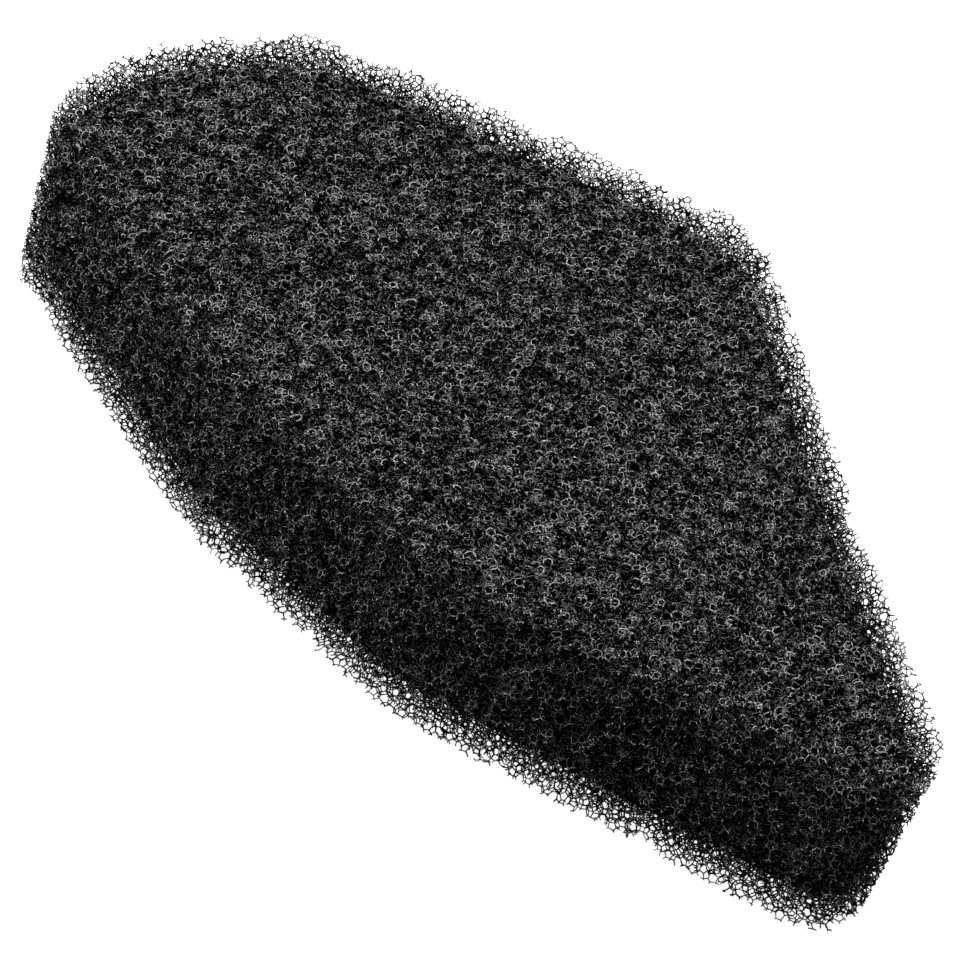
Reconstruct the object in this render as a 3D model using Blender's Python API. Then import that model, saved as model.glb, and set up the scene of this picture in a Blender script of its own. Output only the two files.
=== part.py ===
"""Sponge filter block: one slab of black open-cell foam, cut through square to its faces.

Metres, +Z up. The block lies on its lower face, with the origin below the middle of its
outline. +X runs along the straight back edge, towards the slanted end; +Y points to the back.
"""

import math

import bpy
from mathutils import Vector

# Overall sizes. Length and width are taken between the straight edges' meeting points,
# before the corners are rounded.
LENGTH = 0.246
WIDTH = 0.1465
THICKNESS = 0.050

# The slanted end, at +X: its front corner stands further out than its back corner.
SLANT_RUN = 0.093
SLANT_HOLLOW = 0.0012  # how far this end bows inwards, midway along it
SLANT_FRONT_RADIUS = 0.014
SLANT_BACK_RADIUS = 0.0235

# The nose, at -X: short facets that turn the back edge round to the front edge.
# x is measured from the nose's tip, y from the back edge or the front corner's level.
BROW_X = 0.0415
BROW_RADIUS = 0.034
SHOULDER_X = 0.011
SHOULDER_FROM_BACK = 0.026
SHOULDER_RADIUS = 0.046
TIP_BACK_X = 0.0015
TIP_BACK_FROM_BACK = 0.0485
TIP_BACK_RADIUS = 0.0135
TIP_FROM_BACK = 0.0635
TIP_RADIUS = 0.013

# The front edge runs down to the slanted end's corner in three straight cuts.
CHIN_X = 0.0665
CHIN_FROM_FRONT = 0.0325
CHIN_RADIUS = 0.028
BELLY_X = 0.123
BELLY_FROM_FRONT = 0.009
BELLY_RADIUS = 0.056

ARC_STEP = math.radians(5)  # the most that the outline turns between two points of an arc
HOLLOW_POINTS = 12
MOST_OF_EDGE = 0.49  # a corner's arc takes at most this share of either straight edge

FOAM_COLOR = (0.014, 0.014, 0.015, 1.0)
FOAM_ROUGHNESS = 0.62


def clear_scene():
    for obj in list(bpy.data.objects):
        bpy.data.objects.remove(obj, do_unlink=True)


def make_collection(name):
    collection = bpy.data.collections.new(name)
    bpy.context.scene.collection.children.link(collection)
    return collection


def foam_material():
    material = bpy.data.materials.new("black_foam")
    material.use_nodes = True
    shader = material.node_tree.nodes["Principled BSDF"]
    shader.inputs["Base Color"].default_value = FOAM_COLOR
    shader.inputs["Roughness"].default_value = FOAM_ROUGHNESS
    shader.inputs["Metallic"].default_value = 0.0
    return material


def corners():
    """Each corner's meeting point and radius, anticlockwise from the slanted end's front."""
    return [
        (Vector((LENGTH, 0.0)), SLANT_FRONT_RADIUS),
        (Vector((LENGTH - SLANT_RUN, WIDTH)), SLANT_BACK_RADIUS),
        (Vector((BROW_X, WIDTH)), BROW_RADIUS),
        (Vector((SHOULDER_X, WIDTH - SHOULDER_FROM_BACK)), SHOULDER_RADIUS),
        (Vector((TIP_BACK_X, WIDTH - TIP_BACK_FROM_BACK)), TIP_BACK_RADIUS),
        (Vector((0.0, WIDTH - TIP_FROM_BACK)), TIP_RADIUS),
        (Vector((CHIN_X, CHIN_FROM_FRONT)), CHIN_RADIUS),
        (Vector((BELLY_X, BELLY_FROM_FRONT)), BELLY_RADIUS),
    ]


def corner_arc(before, corner, after, radius):
    """Points of the arc that rounds a corner, touching both of its straight edges."""
    back, ahead = before - corner, after - corner
    half = back.angle(ahead) / 2
    reach = min(radius / math.tan(half), MOST_OF_EDGE * min(back.length, ahead.length))
    radius = reach * math.tan(half)
    # The arc's centre lies to the left where the outline turns left, and to the right at a dent.
    side = math.copysign(1.0, ahead.cross(back))
    chord = ahead.normalized() - back.normalized()
    centre = corner + Vector((-chord.y, chord.x)).normalized() * (side * radius / math.sin(half))
    spoke = corner + back.normalized() * reach - centre
    first, turn = math.atan2(spoke.y, spoke.x), side * (math.pi - 2 * half)
    steps = max(1, math.ceil(abs(turn) / ARC_STEP))
    angles = [first + turn * k / steps for k in range(steps + 1)]
    return [centre + radius * Vector((math.cos(angle), math.sin(angle))) for angle in angles]


def hollow_points(start, end, depth):
    """Points between two ends of an edge that bows inwards, to the left of its travel."""
    along = end - start
    inwards = Vector((-along.y, along.x)).normalized()
    shares = [k / (HOLLOW_POINTS + 1) for k in range(1, HOLLOW_POINTS + 1)]
    return [start + along * t + inwards * (4 * depth * t * (1 - t)) for t in shares]


def outline():
    """The block's outline seen from above, centred on its own box."""
    corner_list = corners()
    arcs = []
    for i, (corner, radius) in enumerate(corner_list):
        before = corner_list[i - 1][0]
        after = corner_list[(i + 1) % len(corner_list)][0]
        arcs.append(corner_arc(before, corner, after, radius))
    arcs.insert(1, hollow_points(arcs[0][-1], arcs[1][0], SLANT_HOLLOW))
    points = [point for arc in arcs for point in arc]
    xs, ys = [p.x for p in points], [p.y for p in points]
    middle = Vector(((min(xs) + max(xs)) / 2, (min(ys) + max(ys)) / 2))
    return [point - middle for point in points]


def make_foam_block(collection):
    curve = bpy.data.curves.new("foam_block", "CURVE")
    curve.dimensions = "2D"
    curve.fill_mode = "BOTH"
    curve.extrude = THICKNESS / 2
    points = outline()
    spline = curve.splines.new("POLY")
    spline.points.add(len(points) - 1)
    for spline_point, point in zip(spline.points, points):
        spline_point.co = (point.x, point.y, 0.0, 1.0)
    spline.use_cyclic_u = True
    curve.materials.append(foam_material())
    block = bpy.data.objects.new("foam_block", curve)
    block.location.z = THICKNESS / 2
    collection.objects.link(block)


clear_scene()
make_foam_block(make_collection("sponge_filter"))
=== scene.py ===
import itertools
import math

import bmesh
import bpy
import numpy as np
from mathutils import Matrix, Vector


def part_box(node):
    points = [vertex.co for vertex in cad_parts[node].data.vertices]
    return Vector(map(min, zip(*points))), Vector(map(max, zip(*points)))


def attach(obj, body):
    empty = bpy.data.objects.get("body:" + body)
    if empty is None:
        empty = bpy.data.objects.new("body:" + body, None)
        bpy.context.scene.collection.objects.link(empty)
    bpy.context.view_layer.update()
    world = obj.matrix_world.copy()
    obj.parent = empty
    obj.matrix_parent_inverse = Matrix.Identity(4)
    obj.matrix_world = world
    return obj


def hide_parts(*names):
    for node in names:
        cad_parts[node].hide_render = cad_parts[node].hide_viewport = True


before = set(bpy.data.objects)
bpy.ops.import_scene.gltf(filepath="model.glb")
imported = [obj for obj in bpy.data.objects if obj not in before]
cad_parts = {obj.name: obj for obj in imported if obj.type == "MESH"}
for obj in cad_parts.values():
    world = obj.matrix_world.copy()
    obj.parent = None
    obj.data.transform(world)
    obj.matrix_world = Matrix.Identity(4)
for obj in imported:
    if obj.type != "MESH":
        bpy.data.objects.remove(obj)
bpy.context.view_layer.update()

sameSpot = 1e-6  # metres: points nearer than this are one
tiny = 1e-12     # keeps a division from failing


# the block's outline, read from the frame

def blockOutline(node):
    # the loop of edges between the lower face and the walls, anticlockwise from above
    bm = bmesh.new()
    bm.from_mesh(node.data)
    bmesh.ops.remove_doubles(bm, verts=bm.verts, dist=sameSpot)
    floor = min(v.co.z for v in bm.verts)
    onFloor = {f for f in bm.faces if max(v.co.z for v in f.verts) < floor + sameSpot}
    nextCorner = {}
    for face in onFloor:
        for loop in face.loops:
            if any(other not in onFloor for other in loop.edge.link_faces):
                nextCorner[loop.vert] = loop.link_loop_next.vert
    start = min(nextCorner, key=lambda v: (round(v.co.x, 6), v.co.y))
    corner, points = start, []
    while not points or corner != start:
        points.append((corner.co.x, corner.co.y))
        corner = nextCorner[corner]
    bm.free()
    return np.array(points[::-1])


outline = blockOutline(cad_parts["foam_block"])
low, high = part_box("foam_block")
print("outline of", len(outline), "points,", [round(1000 * (b - a), 1) for a, b in zip(low, high)], "mm")

foam = {
    "cellPitch": 0.0027,         # from one cell to the next
    "cellFill": 0.77,            # a cell's volume, as a share of its pitch cubed
    "tileCells": 600,            # cells in the block of foam that is repeated
    "pushSteps": 90,             # how long the cells push each other apart
    "pushReach": 1.12,           # how far a cell pushes
    "pushShare": 0.32,           # how much of an overlap each push takes away
    "settleSteps": 3,            # how often the junctions settle between their neighbours
    "settleShare": 0.5,          # how far they go each time
    "strutReach": 0.0002,        # from a junction's middle to its corners
    "reachSpread": 0.25,         # how unlike the junctions are
    "hollow": 0.95,              # how far a strut's sides curve in
    "wallDepth": 0.0038,         # depth of real struts behind the walls
    "upperDepth": 0.0042,        # and under the upper face
    "lowerDepth": 0.0022,        # and over the lower face
    "rimDepth": 0.0084,          # and aslant behind the rims, where light comes through
    "drift": 0.0005,             # how far the foam's growth bends the rows of cells
    "driftLength": 0.043,
    "turn": (0.61, 0.37, 1.13),  # the repeated block's turn against the slab
    "seed": 5,
}


# one repeating block of foam: cells, junctions and struts

def pushedSeeds(options, rng):
    # cell middles in a unit cube that repeats, pushed apart like packed bubbles
    count = options["tileCells"]
    seeds = rng.random((count, 3))
    reach = options["pushReach"] * (1 / count) ** (1 / 3)
    farAway = 9  # so that no cell pushes itself
    for step in range(options["pushSteps"]):
        apart = seeds[:, None] - seeds[None]
        apart -= np.round(apart)
        distance = np.linalg.norm(apart, axis=2)
        np.fill_diagonal(distance, farAway)
        push = np.clip(reach - distance, 0, None) / distance
        seeds = (seeds + options["pushShare"] * np.einsum("ij,ijk->ik", push, apart)) % 1.0
    return seeds


def uniqueRows(rows):
    # where each different row comes first, which of them each row is, and how often each comes
    _, first, inverse, counts = np.unique(
        rows, axis=0, return_index=True, return_inverse=True, return_counts=True)
    return first, inverse.reshape(-1), counts


def cellCorners(seeds):
    # the points that four cells share: each is the middle of an empty ball that touches their seeds
    nearest, batch = 40, 10  # neighbours that are tried for each cell, and cells at a time
    count = len(seeds)
    shifts = np.array(list(itertools.product((-1, 0, 1), repeat=3)))
    images = (seeds[None] + shifts[:, None]).reshape(-1, 3)
    imageCell = np.tile(np.arange(count), len(shifts))
    imageShift = np.repeat(shifts, count, axis=0)
    triples = np.array(list(itertools.combinations(range(nearest), 3)))
    cells, offsets, places = [], [], []
    for first in range(0, count, batch):
        mine = np.arange(first, min(first + batch, count))
        away = images[None] - seeds[mine][:, None]
        distance = (away ** 2).sum(2)
        near = np.argpartition(distance, nearest + 1, axis=1)[:, : nearest + 1]
        rank = np.argsort(np.take_along_axis(distance, near, 1), axis=1)
        near = np.take_along_axis(near, rank, 1)[:, 1:]
        # a point x is half way to a neighbour at n where x . n = b, and three such planes meet in x
        n = np.take_along_axis(away, near[..., None], 1)
        b = (n ** 2).sum(2) / 2
        n1, n2, n3 = (n[:, triples[:, k]] for k in range(3))
        b1, b2, b3 = (b[:, triples[:, k], None] for k in range(3))
        c23, c31, c12 = np.cross(n2, n3), np.cross(n3, n1), np.cross(n1, n2)
        det = (n1 * c23).sum(2, keepdims=True)
        det[np.abs(det) < tiny] = tiny
        x = (b1 * c23 + b2 * c31 + b3 * c12) / det
        # the ball is empty where x is past no other neighbour's plane
        over = (np.einsum("stk,snk->stn", x, n) - b[:, None]).max(2)
        s, t = np.nonzero(over < tiny)
        chosen = near[s[:, None], triples[t]]
        cells.append(np.column_stack([mine[s], imageCell[chosen]]))
        offsets.append(np.concatenate([np.zeros((len(s), 1, 3), int), imageShift[chosen]], axis=1))
        places.append(seeds[mine[s]] + x[s, t])
    cells, offsets, places = map(np.concatenate, (cells, offsets, places))
    # each point was found once from each of its cells: one is kept, its cells in rising order
    order = np.argsort(cells, axis=1, kind="stable")
    cells = np.take_along_axis(cells, order, 1)
    offsets = np.take_along_axis(offsets, order[..., None], 1)
    base = offsets[:, 0]
    places = places - base
    offsets = offsets - base[:, None]
    first, _, _ = uniqueRows(np.column_stack([cells, offsets.reshape(-1, 12)]))
    return cells[first], offsets[first], places[first]


windowPairs = list(itertools.combinations(range(4), 2))


def pairOf(a, b):
    return windowPairs.index((min(a, b), max(a, b)))


def tileStruts(cells, offsets):
    # a strut joins the two junctions that share three cells
    rows, nodeOf, leftOut, startShift = [], [], [], []
    for out in range(4):
        keep = [k for k in range(4) if k != out]
        start = offsets[:, keep[0]]
        rows.append(np.column_stack([cells[:, keep], (offsets[:, keep] - start[:, None]).reshape(-1, 9)]))
        nodeOf.append(np.arange(len(cells)))
        leftOut.append(np.full(len(cells), out))
        startShift.append(start)
    rows, nodeOf, leftOut, startShift = map(np.concatenate, (rows, nodeOf, leftOut, startShift))
    _, inverse, counts = uniqueRows(rows)
    if (counts != 2).any():
        raise ValueError(f"{(counts != 2).sum()} struts of the foam tile have a loose end")
    order = np.argsort(inverse, kind="stable").reshape(-1, 2)
    endA, endB = order[:, 0], order[:, 1]
    return {
        "a": nodeOf[endA], "b": nodeOf[endB],
        "shift": startShift[endA] - startShift[endB],  # from a's tile to b's
        "outA": leftOut[endA], "outB": leftOut[endB],
    }


def settled(places, strut, options):
    # each junction moves towards the middle of its four neighbours
    along = places[strut["b"]] + strut["shift"] - places[strut["a"]]
    for step in range(options["settleSteps"]):
        pull = np.zeros_like(places)
        np.add.at(pull, strut["a"], along)
        np.add.at(pull, strut["b"], -along)
        move = options["settleShare"] * pull / 4
        places = places + move
        along = along + move[strut["b"]] - move[strut["a"]]
    return places, along


def turning(corners, axis):
    # above 0 where three corners turn left about an axis
    return (np.cross(corners[:, 1] - corners[:, 0], corners[:, 2] - corners[:, 0]) * axis).sum(1)


def cornerLeans(leaving):
    # a junction has six corners, each in the plane of a window, between two struts
    lean = np.zeros((len(leaving), 6, 3))
    for p, q in windowPairs:
        r, s = (k for k in range(4) if k not in (p, q))
        both = leaving[:, r] + leaving[:, s]
        lean[:, pairOf(p, q)] = both / np.maximum(np.linalg.norm(both, axis=1, keepdims=True), tiny)
    return lean


def strutSections(strut, lean, unit):
    # three corners of each end, in the order that turns left about the strut
    sections = np.zeros((len(unit), 2, 3), int)
    for side, out in enumerate(("outA", "outB")):
        for o in range(4):
            r = [k for k in range(4) if k != o]
            here = strut[out] == o
            sections[here, side] = [pairOf(r[0], r[1]), pairOf(r[1], r[2]), pairOf(r[0], r[2])]
    turn = turning(lean[strut["a"][:, None], sections[:, 0]], unit)
    sections[turn < 0] = sections[turn < 0][:, :, ::-1]
    return sections


def junctionFacets(lean, towardsCells):
    # the four small triangles of a junction, each facing one cell
    facets = np.zeros((len(lean), 4, 3), int)
    for cell in range(4):
        trio = [pairOf(cell, other) for other in range(4) if other != cell]
        outwards = turning(lean[:, trio], towardsCells[:, cell]) > 0
        facets[:, cell] = np.where(outwards[:, None], trio, trio[::-1])
    return facets


def foamTile(options):
    rng = np.random.default_rng(options["seed"])
    seeds = pushedSeeds(options, rng)
    cells, offsets, places = cellCorners(seeds)
    strut = tileStruts(cells, offsets)
    places, along = settled(places, strut, options)
    length = np.linalg.norm(along, axis=1, keepdims=True)
    unit = along / length
    leaving = np.zeros((len(places), 4, 3))  # each junction's struts, by the cell that they leave out
    leaving[strut["a"], strut["outA"]] = unit
    leaving[strut["b"], strut["outB"]] = -unit
    lean = cornerLeans(leaving)
    sections = strutSections(strut, lean, unit)
    facets = junctionFacets(lean, seeds[cells] + offsets - places[:, None])
    inCells = length * options["tileCells"] ** (1 / 3)
    print(f"foam tile: {len(places)} junctions, {len(along)} struts, "
          f"{len(places) / options['tileCells']:.2f} junctions a cell, "
          f"struts {inCells.mean():.3f} +- {inCells.std():.3f} of a cell")
    return {"places": places, "lean": lean, "facets": facets, "strut": strut, "sections": sections}


# the tile repeated through the slab's skin, and cut off at its faces

def outlineDepth(points, loop):
    # how far inside the outline each point is, and where along it the nearest point lies
    following = np.roll(loop, -1, axis=0)
    along = following - loop
    length = np.linalg.norm(along, axis=1)
    before = np.concatenate([[0], np.cumsum(length)])
    depth, place = np.empty(len(points)), np.empty(len(points))
    batch = 60000  # points at a time, to spare memory
    for first in range(0, len(points), batch):
        p = points[first:first + batch]
        gap = p[:, None] - loop[None]
        share = np.clip((gap * along).sum(2) / length ** 2, 0, 1)
        miss = ((gap - share[..., None] * along) ** 2).sum(2)
        nearest = miss.argmin(1)
        each = np.arange(len(p))
        # inside, a line from the point towards +X crosses the outline an odd number of times
        x, y = p[:, 0:1], p[:, 1:2]
        spans = (loop[:, 1] > y) != (following[:, 1] > y)
        with np.errstate(divide="ignore", invalid="ignore"):
            crossing = loop[:, 0] + (y - loop[:, 1]) * along[:, 0] / along[:, 1]
        inside = (spans & (x < crossing)).sum(1) % 2 == 1
        depth[first:first + batch] = np.sqrt(miss[each, nearest]) * np.where(inside, 1, -1)
        place[first:first + batch] = (before[nearest] + share[each, nearest] * length[nearest]) / before[-1]
    return depth, place


def drifted(points, options):
    # slow bends, so that no two copies of the tile are alike; their phases and lengths are only unlike
    k = 2 * math.pi / options["driftLength"]
    x, y, z = points.T
    bend = np.column_stack([
        np.sin(k * y + 1.3) + np.sin(0.73 * k * z + 0.4 * k * x),
        np.sin(k * z + 2.1) + np.sin(0.61 * k * x + 0.5 * k * y),
        np.sin(k * x + 0.2) + np.sin(0.83 * k * y + 0.3 * k * z),
    ])
    return points + options["drift"] * bend


def tilesNeeded(options, lowest, highest, turn):
    # the copies of the tile that reach the slab, and the length of a tile's side
    edge = (options["tileCells"] * options["cellFill"]) ** (1 / 3) * options["cellPitch"]
    toCorner = 0.88 * edge  # from a tile's middle to just past its corners
    middle = (lowest + highest) / 2
    boxCorners = np.array(list(itertools.product(*zip(lowest, highest)))) - middle
    spread = np.abs(boxCorners @ turn / edge).max(0)
    ranges = [np.arange(-math.ceil(s) - 1, math.ceil(s) + 1) for s in spread]
    shifts = np.array(list(itertools.product(*ranges)))
    centres = (shifts + 0.5) * edge @ turn.T + middle
    beyond = np.maximum(np.maximum(lowest - centres, centres - highest), 0)
    near = np.linalg.norm(beyond, axis=1) < toCorner + 2 * options["cellPitch"]
    return shifts[near], edge


def laidStruts(tile, shifts):
    # every strut of the laid tiles: its two junctions, and which of the tile's struts it is
    strut, count = tile["strut"], len(tile["places"])
    base = shifts.min(0) - 1
    index = np.full(shifts.max(0) - base + 2, -1)  # each shift's place in the list of tiles
    index[tuple((shifts - base).T)] = np.arange(len(shifts))
    other = index[tuple(np.moveaxis(shifts[:, None] + strut["shift"][None] - base, 2, 0))]
    a = (np.arange(len(shifts))[:, None] * count + strut["a"][None]).ravel()
    b = np.where(other < 0, -1, other * count + strut["b"][None]).ravel()
    kind = np.tile(np.arange(len(strut["a"])), len(shifts))
    known = b >= 0
    return a[known], b[known], kind[known]


def heldJunctions(skin, core, a, b):
    # crumbs and loosely held junctions fall off: one stays if it is in the core, or if the last strut
    # listed from it, or the last one listed to it, joins it to a junction that stays
    longestChain = 40
    held = skin & core
    both = skin[a] & skin[b]
    for step in range(longestChain):
        grown = held.copy()
        grown[a[both]] |= held[b[both]]
        grown[b[both]] |= held[a[both]]
        if (grown == held).all():
            break
        held = grown
    return held


def foamSkin(tile, options, loop, bottom, top):
    pitch = options["cellPitch"]
    turns = [Matrix.Rotation(angle, 3, axis) for angle, axis in zip(options["turn"], "XYZ")]
    turn = np.array(turns[0] @ turns[1] @ turns[2])
    lowest = np.array([*loop.min(0), bottom])
    highest = np.array([*loop.max(0), top])
    shifts, edge = tilesNeeded(options, lowest, highest, turn)
    laid = ((tile["places"][None] + shifts[:, None]) * edge).reshape(-1, 3)
    places = drifted(laid @ turn.T + (lowest + highest) / 2, options)
    print(f"{len(shifts)} tiles of {1000 * edge:.1f} mm, {len(places)} junctions before the cut")

    margin = 2 * pitch
    close = ((places > lowest - margin) & (places < highest + margin)).all(1)
    wallDepth = np.full(len(places), -1.0)
    around = np.zeros(len(places))
    wallDepth[close], around[close] = outlineDepth(places[close, :2], loop)
    overLower, underUpper = places[:, 2] - bottom, top - places[:, 2]
    inside = close & (wallDepth > 0) & (overLower > 0) & (underUpper > 0)
    skin = inside & ((wallDepth < options["wallDepth"]) | (underUpper < options["upperDepth"])
                     | (overLower < options["lowerDepth"])
                     | (wallDepth + np.minimum(underUpper, overLower) < math.sqrt(2) * options["rimDepth"]))

    a, b, kind = laidStruts(tile, shifts)
    # junctions this deep stay in any case
    core = (wallDepth > pitch) & (underUpper > 0.5 * pitch) & (overLower > 0.5 * pitch)
    skin = heldJunctions(skin, core, a, b)
    used = skin[a] | skin[b]
    a, b, kind = a[used], b[used], kind[used]
    swap = ~skin[a]  # a strut starts at a junction that is kept
    a, b = np.where(swap, b, a), np.where(swap, a, b)
    sections = tile["sections"]
    secA = np.where(swap[:, None], sections[kind, 1][:, ::-1], sections[kind, 0])
    secB = np.where(swap[:, None], sections[kind, 0][:, ::-1], sections[kind, 1])
    # where a strut leaves the slab, the blade has cut it
    share = np.ones(len(a))
    for depth in (wallDepth, overLower, underUpper):
        at = depth[a] / np.maximum(depth[a] - depth[b], tiny)
        share = np.where(depth[b] < 0, np.minimum(share, at), share)
    return {
        "places": places, "around": around, "wallDepth": wallDepth, "overLower": overLower,
        "underUpper": underUpper, "skin": skin, "a": a, "b": b, "secA": secA, "secB": secB, "share": share,
        "turn": turn, "tileNode": np.tile(np.arange(len(tile["places"])), len(shifts)),
    }


tile = foamTile(foam)
skin = foamSkin(tile, foam, outline, low.z, high.z)
print(f"{skin['skin'].sum()} junctions and {len(skin['a'])} struts kept, "
      f"{(skin['share'] < 1).sum()} cut ends")


# the skin shared out into pieces, each a closed mesh of its own

pieces = {
    "triangles": 190000,       # about as many as a piece may have
    "perJunction": 18.2,       # triangles of a junction and its share of the struts
}


def shareOut(skin, wallDepth, options):
    # each kept junction gets a piece: rim pieces go round the walls, face pieces across the faces
    kept = np.flatnonzero(skin["skin"])
    rim = skin["wallDepth"][kept] < wallDepth
    upper = ~rim & (skin["underUpper"][kept] < skin["overLower"][kept])
    lower = ~rim & ~upper
    owner = np.full(len(skin["skin"]), -1)
    names = []
    along = {"rim": skin["around"][kept], "upper": skin["places"][kept, 0], "lower": skin["places"][kept, 0]}
    for label, mask in (("rim", rim), ("upper", upper), ("lower", lower)):
        mine = kept[mask][np.argsort(along[label][mask], kind="stable")]
        parts = math.ceil(options["perJunction"] * len(mine) / options["triangles"])
        for part, members in enumerate(np.array_split(mine, parts)):
            owner[members] = len(names)
            names.append(f"foam_{label}_{part + 1}")
    return owner, names


def flatMap(points, rim):
    # laid out for the export: a rim piece by bearing and height, a face piece as seen from above
    if rim:
        bearing = np.arctan2(points[:, 1], points[:, 0])
        middle = math.atan2(np.sin(bearing).sum(), np.cos(bearing).sum())
        laid = np.column_stack([(bearing - middle + math.pi) % (2 * math.pi), points[:, 2]])
    else:
        laid = points[:, :2]
    least, border = laid.min(0), 0.004  # the border is left free round the map
    return border + (1 - 2 * border) * (laid - least) / (laid.max(0) - least)


def pieceMesh(skin, tile, owner, number, name, reach):
    members = np.flatnonzero(owner == number)
    local = np.full(len(owner), -1)
    local[members] = np.arange(len(members))
    nodeKind = skin["tileNode"][members]
    lean = tile["lean"] @ skin["turn"].T
    # a junction's corners are all at its middle until the node tree moves them out
    each = lean.shape[1]
    points = [np.repeat(skin["places"][members], each, axis=0)]
    leans = [lean[nodeKind].reshape(-1, 3)]
    junctions = [np.repeat(members, each)]
    triangles = [(each * np.arange(len(members))[:, None, None] + tile["facets"][nodeKind]).reshape(-1, 3)]

    mine = owner[skin["a"]] == number
    a, b = skin["a"][mine], skin["b"][mine]
    secA, secB, share = skin["secA"][mine], skin["secB"][mine], skin["share"][mine]
    startRing = each * local[a][:, None] + secA
    whole = owner[b] == number
    endRing = np.where(whole[:, None], each * local[b][:, None] + secB, 0)
    # a strut that is cut, or that goes on in another piece, has an end of its own
    loose = np.flatnonzero(~whole)
    endRing[loose] = each * len(members) + np.arange(3 * len(loose)).reshape(-1, 3)
    t = share[loose, None]
    middle = skin["places"][a[loose]] * (1 - t) + skin["places"][b[loose]] * t
    leanA = lean[skin["tileNode"][a[loose], None], secA[loose]]
    leanB = lean[skin["tileNode"][b[loose], None], secB[loose]]
    points.append(np.repeat(middle, 3, axis=0))
    leans.append((leanA * (1 - t[..., None]) + leanB * t[..., None]).reshape(-1, 3))
    junctions.append(np.repeat(a[loose], 3))
    triangles.append(endRing[loose])
    # a socket whose strut belongs to another piece is closed
    foreign = (owner[skin["b"]] == number) & (owner[skin["a"]] != number)
    triangles.append((each * local[skin["b"][foreign]][:, None] + skin["secB"][foreign])[:, ::-1])
    quads = []
    for k, n in ((0, 1), (1, 2), (2, 0)):
        quads.append(np.column_stack([startRing[:, k], startRing[:, n], endRing[:, n], endRing[:, k]]))
    points, leans, junctions = map(np.concatenate, (points, leans, junctions))
    triangles, quads = np.concatenate(triangles), np.concatenate(quads)

    mesh = bpy.data.meshes.new(name)
    mesh.vertices.add(len(points))
    mesh.vertices.foreach_set("co", points.astype(np.float32).ravel())
    corner = np.concatenate([triangles.ravel(), quads.ravel()]).astype(np.int32)
    mesh.loops.add(len(corner))
    mesh.loops.foreach_set("vertex_index", corner)
    mesh.polygons.add(len(triangles) + len(quads))
    starts = np.concatenate([3 * np.arange(len(triangles)), 3 * len(triangles) + 4 * np.arange(len(quads))])
    mesh.polygons.foreach_set("loop_start", starts.astype(np.int32))
    mesh.update(calc_edges=True)
    laid = flatMap(points + reach * leans, "rim" in name)[corner]
    mesh.uv_layers.new(name="OFBake").uv.foreach_set("vector", laid.astype(np.float32).ravel())
    leanData = mesh.attributes.new("lean", "FLOAT_VECTOR", "POINT").data
    leanData.foreach_set("vector", leans.astype(np.float32).ravel())
    mesh.attributes.new("junction", "INT", "POINT").data.foreach_set("value", junctions.astype(np.int32))
    return mesh, len(triangles) + 2 * len(quads)


# node trees: sockets that take Python's operators, and one way to add any node

class Wire:
    def __init__(self, graph, socket):
        self.graph, self.socket = graph, socket

    def __add__(self, other):
        return self.graph.math("ADD", self, other)

    def __radd__(self, other):
        return self.graph.math("ADD", other, self)

    def __sub__(self, other):
        return self.graph.math("SUBTRACT", self, other)

    def __rsub__(self, other):
        return self.graph.math("SUBTRACT", other, self)

    def __mul__(self, other):
        return self.graph.math("MULTIPLY", self, other)

    def __rmul__(self, other):
        return self.graph.math("MULTIPLY", other, self)


class Graph:
    def __init__(self, tree):
        self.tree = tree

    def node(self, kind, settings=None, **values):
        made = self.tree.nodes.new(kind)
        for key, value in (settings or {}).items():
            setattr(made, key, value)
        for key, value in values.items():
            self.feed(self.socket(made.inputs, key), value)
        return made

    def socket(self, sockets, key):
        # in1 is the second socket; a word is the socket of that name, in use, with its spaces left out
        if key[:2] == "in" and key[2:].isdigit():
            return sockets[int(key[2:])]
        return next(s for s in sockets if s.enabled and s.name.replace(" ", "").lower() == key.lower())

    def feed(self, socket, value):
        # a link from a wire or another node's socket, or else a plain value
        if isinstance(value, Wire):
            self.tree.links.new(value.socket, socket)
        elif hasattr(value, "is_output"):
            self.tree.links.new(value, socket)
        else:
            socket.default_value = value

    def wire(self, kind, settings=None, out=0, **values):
        made = self.node(kind, settings, **values)
        return Wire(self, made.outputs[out] if isinstance(out, int) else self.socket(made.outputs, out))

    def math(self, operation, a, b, clamp=False):
        return self.wire("ShaderNodeMath", {"operation": operation, "use_clamp": clamp}, in0=a, in1=b)

    def vector(self, operation, a, b=None, **values):
        second = {} if b is None else {"in1": b}
        return self.wire("ShaderNodeVectorMath", {"operation": operation}, in0=a, **second, **values)

    def color(self, share, first, second):
        return self.wire("ShaderNodeMix", {"data_type": "RGBA"}, out=2, in0=share,
                         in6=(*first, 1), in7=(*second, 1))


# materials

def startMaterial(name):
    material = bpy.data.materials.new(name)
    material.use_nodes = True
    material.node_tree.nodes.clear()
    graph = Graph(material.node_tree)
    shader = graph.node("ShaderNodeBsdfPrincipled")
    output = graph.node("ShaderNodeOutputMaterial")
    graph.feed(output.inputs["Surface"], shader.outputs[0])
    return material, graph, shader


blackFoam = {
    "dark": (0.004, 0.004, 0.004),
    "pale": (0.013, 0.013, 0.0132),
    "patch": 0.009,            # metres between paler and darker patches
    "patchShare": 0.2,         # of the paleness; the grain has the rest
    "grain": 0.0006,
    "gloss": (0.22, 0.40),     # roughness where the grain is low, and where it is high
    "specular": 0.32,
    "ripple": 0.0005,          # size of the ripples along a strut
    "rippleHeight": 0.000015,
}


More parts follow.
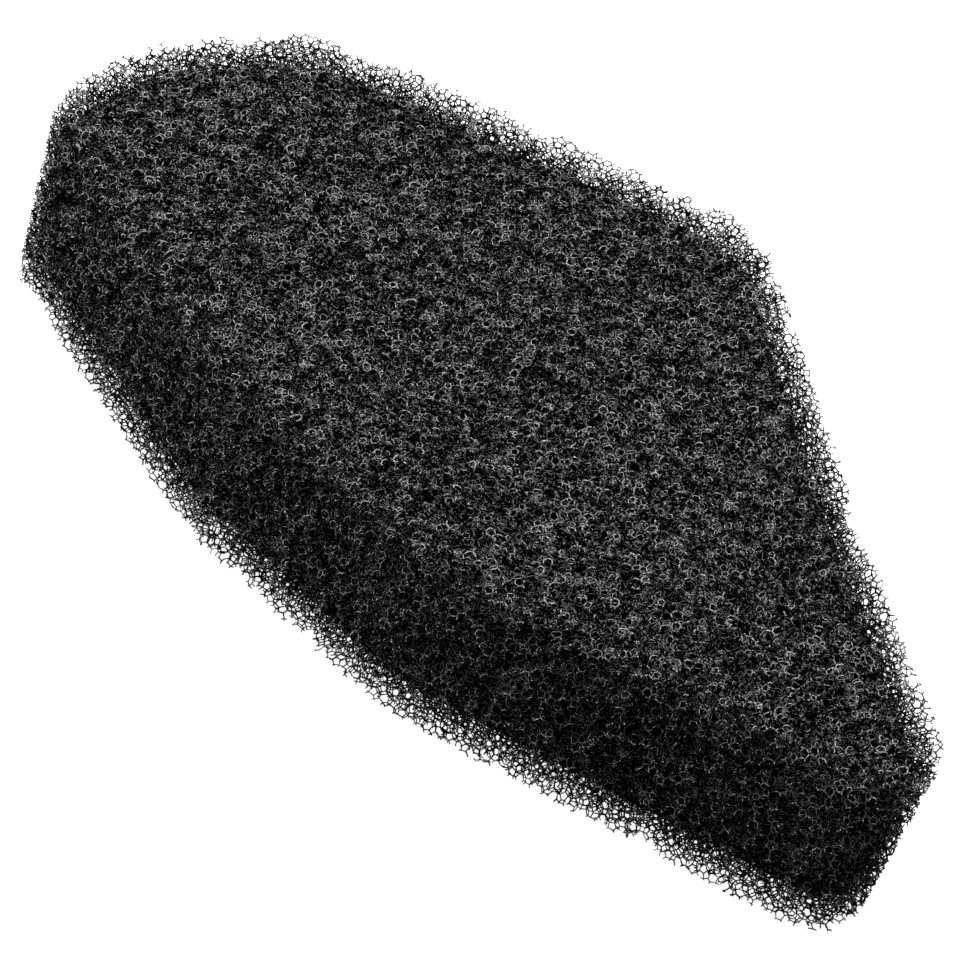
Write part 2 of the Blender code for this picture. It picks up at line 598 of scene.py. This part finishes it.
def foamMaterial(look):
    material, graph, shader = startMaterial("blackFoam")
    place = graph.wire("ShaderNodeTexCoord", out="Object")
    patch = graph.wire("ShaderNodeTexNoise", vector=place, scale=1 / look["patch"], detail=3.0)
    grain = graph.wire("ShaderNodeTexNoise", vector=place, scale=1 / look["grain"], detail=2.0)
    ripple = graph.wire("ShaderNodeTexNoise", vector=place, scale=1 / look["ripple"], detail=2.0)
    paleness = patch * look["patchShare"] + grain * (1 - look["patchShare"])
    graph.feed(shader.inputs["Base Color"], graph.color(paleness, look["dark"], look["pale"]))
    smooth, rough = look["gloss"]
    graph.feed(shader.inputs["Roughness"], grain * (rough - smooth) + smooth)
    bump = graph.node("ShaderNodeBump", height=ripple, strength=1.0, distance=look["rippleHeight"])
    graph.feed(shader.inputs["Normal"], bump.outputs[0])
    shader.inputs["Specular IOR Level"].default_value = look["specular"]
    return material


# painted light and shade of the deep foam: the gap colour is painted shade, the strut colour is painted lit
# struts
deepFoam = {
    "cell": 0.0025,
    "gap": (0.0001, 0.0001, 0.0001),
    "strut": (0.065, 0.065, 0.0652),
    "width": 0.05,             # of a strut, in cells
    "unevenness": 1.7,         # painted lit and unlit stretches in a cell's length
    "layers": (                # each layer's turn, place and painted brightness
        ((0.3, 0.9, 0.2), (0.0, 0.2, 0.1), 1.0),
        ((1.1, 0.4, 2.3), (0.37, 0.2, 0.1), 0.45),
    ),
    "roughness": (0.9, 0.6),   # of the gaps and of the struts
}


def paintedDeepMaterial(look):
    # painted light and shade: two layers of deeper struts, painted as lit strokes on near-black painted
    # shade, drawn over each other
    material, graph, shader = startMaterial("deepFoam")
    place = graph.wire("ShaderNodeTexCoord", out="Object")
    seen = []
    for turn, shift, level in look["layers"]:
        turned = graph.wire("ShaderNodeMapping", vector=place, rotation=turn, location=shift)
        edge = graph.wire("ShaderNodeTexVoronoi", {"feature": "DISTANCE_TO_EDGE"},
                          vector=turned, scale=1 / look["cell"])
        # painted light: this noise picks which stretches of the painted struts are lit
        lit = graph.wire("ShaderNodeTexNoise", vector=turned,
                         scale=look["unevenness"] / look["cell"], detail=1.0)
        seen.append(graph.math("DIVIDE", look["width"] - edge, look["width"], clamp=True) * lit * level)
    paintedLitStrokes = graph.math("MAXIMUM", seen[0], seen[1])
    # painted lit struts over painted near-black shade
    graph.feed(shader.inputs["Base Color"], graph.color(paintedLitStrokes, look["gap"], look["strut"]))
    ofGap, ofStrut = look["roughness"]
    graph.feed(shader.inputs["Roughness"], ofGap - (ofGap - ofStrut) * paintedLitStrokes)
    shader.inputs["Specular IOR Level"].default_value = 0.0
    return material


# Geometry Nodes: the web of struts gets its thickness

def strutTree():
    tree = bpy.data.node_groups.new("foamStruts", "GeometryNodeTree")
    graph = Graph(tree)
    sockets = [
        ("Web", "NodeSocketGeometry"),
        ("Strut Reach", "NodeSocketFloat"),
        ("Reach Spread", "NodeSocketFloat"),
        ("Hollow", "NodeSocketFloat"),
        ("Lower Face", "NodeSocketFloat"),
        ("Upper Face", "NodeSocketFloat"),
        ("Seed", "NodeSocketInt"),
        ("Foam", "NodeSocketMaterial"),
    ]
    for name, kind in sockets:
        tree.interface.new_socket(name, in_out="INPUT", socket_type=kind)
    tree.interface.new_socket("Struts", in_out="OUTPUT", socket_type="NodeSocketGeometry")
    inputs = graph.node("NodeGroupInput")
    value = {name: Wire(graph, inputs.outputs[name]) for name, _ in sockets}
    lean = graph.wire("GeometryNodeInputNamedAttribute", {"data_type": "FLOAT_VECTOR"}, name="lean")
    junction = graph.wire("GeometryNodeInputNamedAttribute", {"data_type": "INT"}, name="junction")
    chance = graph.wire("FunctionNodeRandomValue", {"data_type": "FLOAT"}, out=1,
                        in2=-1.0, in3=1.0, in7=junction, in8=value["Seed"])
    reach = value["Strut Reach"] * (1 + value["Reach Spread"] * chance)
    offset = graph.vector("SCALE", lean, scale=reach)
    thick = graph.wire("GeometryNodeSetPosition", geometry=value["Web"], offset=offset)
    # the blade leaves both faces flat
    position = graph.node("ShaderNodeSeparateXYZ", vector=graph.wire("GeometryNodeInputPosition"))
    x, y, z = (Wire(graph, output) for output in position.outputs)
    level = graph.math("MINIMUM", graph.math("MAXIMUM", z, value["Lower Face"]), value["Upper Face"])
    cut = graph.wire("ShaderNodeCombineXYZ", x=x, y=y, z=level)
    flat = graph.wire("GeometryNodeSetPosition", geometry=thick, position=cut)
    # a strut's sides are hollow: towards each corner the side's normal turns back to its middle
    facing = graph.wire("GeometryNodeInputNormal", out=1)
    side = graph.wire("GeometryNodeFieldOnDomain", {"domain": "FACE", "data_type": "FLOAT_VECTOR"},
                      value=facing)
    hollow = graph.vector("SUBTRACT", side, graph.vector("SCALE", lean, scale=value["Hollow"]))
    bent = graph.wire("GeometryNodeSetMeshNormal", {"mode": "FREE", "domain": "CORNER"}, mesh=flat,
                      customnormal=graph.vector("NORMALIZE", hollow))
    real = graph.wire("GeometryNodeRealizeInstances", geometry=bent)
    dressed = graph.wire("GeometryNodeSetMaterial", geometry=real, material=value["Foam"])
    output = graph.node("NodeGroupOutput")
    graph.feed(output.inputs[0], dressed)
    return tree


def nodesApplied(mesh, tree, name, values):
    # runs the tree on a mesh once, and gives a plain mesh
    source = bpy.data.objects.new(name + "_web", mesh)
    bpy.context.scene.collection.objects.link(source)
    modifier = source.modifiers.new("nodes", "NODES")
    modifier.node_group = tree
    for item in tree.interface.items_tree:
        if item.in_out == "INPUT" and item.name in values:
            modifier[item.identifier] = values[item.name]
    graph = bpy.context.evaluated_depsgraph_get()
    made = bpy.data.meshes.new_from_object(source.evaluated_get(graph))
    bpy.data.objects.remove(source)
    bpy.data.meshes.remove(mesh)
    made.name = name
    for attribute in ("lean", "junction"):
        made.attributes.remove(made.attributes[attribute])
    piece = bpy.data.objects.new(name, made)
    bpy.context.scene.collection.objects.link(piece)
    return piece


def standForBlock(piece):
    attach(piece, "root")
    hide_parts("foam_block")


foamLook = foamMaterial(blackFoam)
tree = strutTree()
owner, pieceNames = shareOut(skin, foam["wallDepth"], pieces)
treeValues = {
    "Strut Reach": foam["strutReach"], "Reach Spread": foam["reachSpread"], "Hollow": foam["hollow"],
    "Lower Face": low.z, "Upper Face": high.z, "Seed": foam["seed"], "Foam": foamLook,
}
total = 0
for number, name in enumerate(pieceNames):
    web, triangles = pieceMesh(skin, tile, owner, number, name, foam["strutReach"])
    standForBlock(nodesApplied(web, tree, name, treeValues))
    total += triangles
    print(f"{name}: {triangles} triangles")
print(len(pieceNames), "pieces,", total, "triangles")


# the core: the foam too deep to be seen through, its surface painted near-black shade with painted lit
# struts

core = {
    "overlap": 0.0003,         # how far the foam's struts reach into it
}


def insetLoop(loop, distance):
    ahead = np.roll(loop, -1, axis=0) - loop
    ahead /= np.linalg.norm(ahead, axis=1, keepdims=True)
    behind = np.roll(ahead, 1, axis=0)
    inwards = np.column_stack([-ahead[:, 1] - behind[:, 1], ahead[:, 0] + behind[:, 0]])
    inwards /= (inwards ** 2).sum(1, keepdims=True) / 2
    return loop + distance * inwards


def makeCore(options, depths, loop, bottom, top):
    # the outline drawn in at four heights: both faces, and both edges of the wall, with slants between
    overlap = options["overlap"]
    wall, upper, lower = (depths[side] - overlap for side in ("wallDepth", "upperDepth", "lowerDepth"))
    slant = math.sqrt(2) * (depths["rimDepth"] - overlap)
    levels = [(bottom + lower, slant - lower), (bottom + slant - wall, wall), (top - slant + wall, wall),
              (top - upper, slant - upper)]
    bm = bmesh.new()
    rings = [[bm.verts.new((x, y, z)) for x, y in insetLoop(loop, inset)] for z, inset in levels]
    for one, other in zip(rings, rings[1:]):
        for k in range(len(one)):
            n = (k + 1) % len(one)
            bm.faces.new([one[k], one[n], other[n], other[k]])
    bm.faces.new(rings[0][::-1])
    bm.faces.new(rings[-1])
    bmesh.ops.recalc_face_normals(bm, faces=bm.faces)
    bmesh.ops.triangulate(bm, faces=bm.faces)
    mesh = bpy.data.meshes.new("foam_core")
    bm.to_mesh(mesh)
    bm.free()
    mesh.materials.append(paintedDeepMaterial(deepFoam))
    piece = bpy.data.objects.new("foam_core", mesh)
    bpy.context.scene.collection.objects.link(piece)
    standForBlock(piece)
    print("foam_core:", len(mesh.polygons), "triangles")


makeCore(core, foam, outline, low.z, high.z)


# floor, light and camera

studio = {
    "floorColor": (0.05, 0.05, 0.05, 1),
    "floorRoughness": 0.9,
    "floorSpecular": 0.1,
    "floorGlow": 0.94,         # the floor is a light table
    "floorDrop": 0.0002,       # how far it lies below the block
    "surround": (6.0, 1.3),    # radius and height of the pale wall around it
    "sides": 96,
    "sky": 0.2,
    "overhead": (365.0, 2.2, (-0.35, 0.45, 1.1)),  # each softbox's power, size and place
    "side": (85.0, 0.9, (-1.05, -0.35, 0.85)),
    "lightsAim": (0, 0, 0.02),
}
white = (1, 1, 1, 1)


def makeFloor(options):
    radius, height = options["surround"]
    bm = bmesh.new()
    bmesh.ops.create_circle(bm, cap_ends=True, segments=options["sides"], radius=radius)
    rim = [e for e in bm.edges if e.is_boundary]
    for v in bmesh.ops.extrude_edge_only(bm, edges=rim)["geom"]:
        if isinstance(v, bmesh.types.BMVert):
            v.co.z = height
    bmesh.ops.translate(bm, verts=bm.verts, vec=(0, 0, -options["floorDrop"]))
    mesh = bpy.data.meshes.new("floor")
    bm.to_mesh(mesh)
    bm.free()
    floor = bpy.data.objects.new("floor", mesh)
    bpy.context.scene.collection.objects.link(floor)
    material, graph, shader = startMaterial("paleFloor")
    shader.inputs["Base Color"].default_value = options["floorColor"]
    shader.inputs["Roughness"].default_value = options["floorRoughness"]
    shader.inputs["Specular IOR Level"].default_value = options["floorSpecular"]
    shader.inputs["Emission Color"].default_value = white
    shader.inputs["Emission Strength"].default_value = options["floorGlow"]
    mesh.materials.append(material)


def softbox(name, power, size, place, aim):
    light = bpy.data.lights.new(name, "AREA")
    light.energy, light.size = power, size
    lamp = bpy.data.objects.new(name, light)
    lamp.location = place
    lamp.rotation_euler = (Vector(place) - Vector(aim)).to_track_quat("Z", "Y").to_euler()
    bpy.context.scene.collection.objects.link(lamp)


def lightStudio(options):
    world = bpy.data.worlds.new("studio")
    world.use_nodes = True
    background = world.node_tree.nodes["Background"]
    background.inputs["Color"].default_value = white
    background.inputs["Strength"].default_value = options["sky"]
    bpy.context.scene.world = world
    for name in ("overhead", "side"):
        softbox(name, *options[name], options["lightsAim"])
    bpy.context.scene.view_settings.view_transform = "Standard"


view = {
    "azimuth": 5.18,
    "elevation": 46.0,
    "roll": 20.6,
    "lens": 136.87,
    "sensorWidth": 36,
    "clip": (0.05, 50),
    "distance": 0.7615,
    "aim": (0.00583, -0.03867, 0.05),  # on the block's upper face
}


def makeCamera(options):
    azimuth, elevation = math.radians(options["azimuth"]), math.radians(options["elevation"])
    back = Vector((math.sin(azimuth) * math.cos(elevation), -math.cos(azimuth) * math.cos(elevation),
                   math.sin(elevation)))
    camera = bpy.data.cameras.new("camera")
    camera.lens, camera.sensor_width = options["lens"], options["sensorWidth"]
    camera.clip_start, camera.clip_end = options["clip"]
    holder = bpy.data.objects.new("camera", camera)
    upright = back.to_track_quat("Z", "Y").to_matrix()
    turned = upright @ Matrix.Rotation(math.radians(options["roll"]), 3, "Z")
    place = Vector(options["aim"]) + back * options["distance"]
    holder.matrix_world = Matrix.Translation(place) @ turned.to_4x4()
    bpy.context.scene.collection.objects.link(holder)
    bpy.context.scene.camera = holder


makeFloor(studio)
lightStudio(studio)
makeCamera(view)
print("floor, lights and camera in place")
